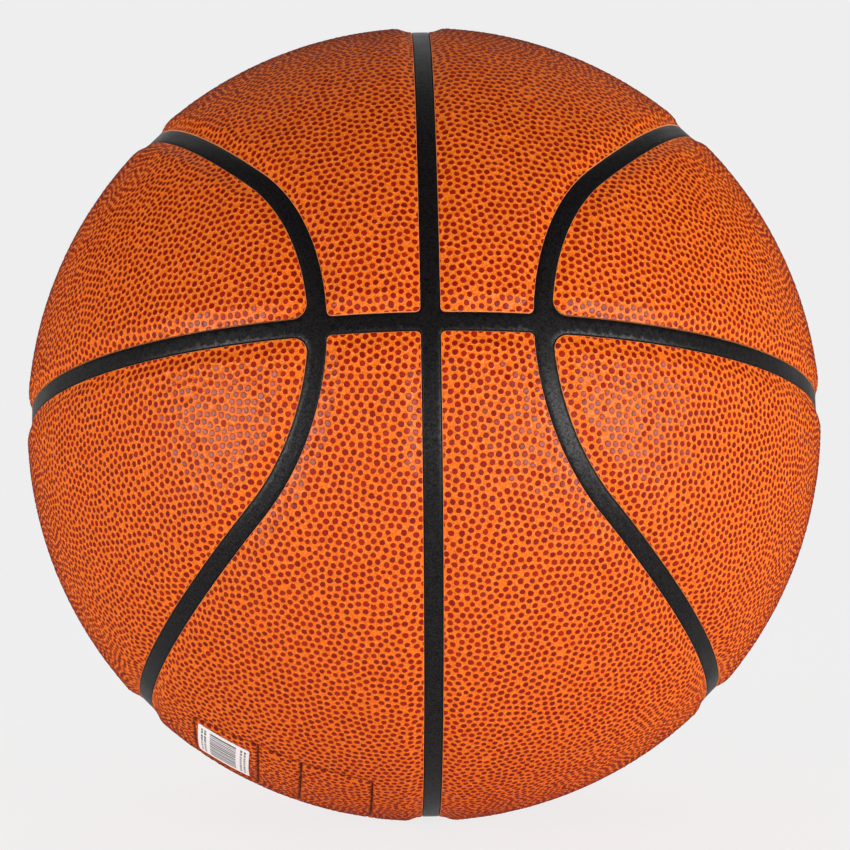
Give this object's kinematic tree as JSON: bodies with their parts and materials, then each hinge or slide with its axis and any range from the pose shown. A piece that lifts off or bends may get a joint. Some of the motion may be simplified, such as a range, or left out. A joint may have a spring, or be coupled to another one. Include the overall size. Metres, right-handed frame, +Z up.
{
  "type": "basketball",
  "caption": "Inflatable ball with pebbled cover panels set between black rubber seam ribs, over foam pads, a ribbed carcass, wound thread and a bladder with a needle valve.",
  "frame": {"origin": "centre of the ball", "axes": "+Z up as the picture shows the ball, -Y towards the front seam cross, +X to the right as seen from the front; the seam pattern leans back by 16.1 degrees about X"},
  "size_m": [0.2416, 0.2416, 0.2416],
  "materials": {
    "cover": "pebbled composite leather, semi-gloss",
    "seam_rubber": "matte, fine moulded grain",
    "foam": "soft closed-cell foam, open cut edges",
    "thread": "wound nylon thread set in latex",
    "bladder_rubber": "smooth, dull",
    "valve_rubber": "moulded, satin",
    "plug_rubber": "soft moulded, satin",
    "label_paper": "coated white paper"
  },
  "bodies": {
    "ball": {"bladder": "bladder_rubber", "carcass": "seam_rubber", "center_pad_lower_left": "foam", "center_pad_lower_right": "foam", "center_pad_upper_left": "foam", "center_pad_upper_right": "foam", "center_panel_lower_left": "cover", "center_panel_lower_right": "cover", "center_panel_upper_left": "cover", "center_panel_upper_right": "cover", "paper_label": "label_paper", "side_pad_lower_left": "foam", "side_pad_lower_right": "foam", "side_pad_upper_left": "foam", "side_pad_upper_right": "foam", "side_panel_lower_left": "cover", "side_panel_lower_right": "cover", "side_panel_upper_left": "cover", "side_panel_upper_right": "cover", "thread_winding": "thread", "valve_housing": "valve_rubber"},
    "plug": {"valve_plug": "plug_rubber"}
  },
  "joints": [
    {"name": "valve_plug_pull", "type": "slide", "parent": "ball", "child": "plug", "axis": [-0.225, 0.9458, 0.2341], "range_m": [0, 0.025]}
  ]
}
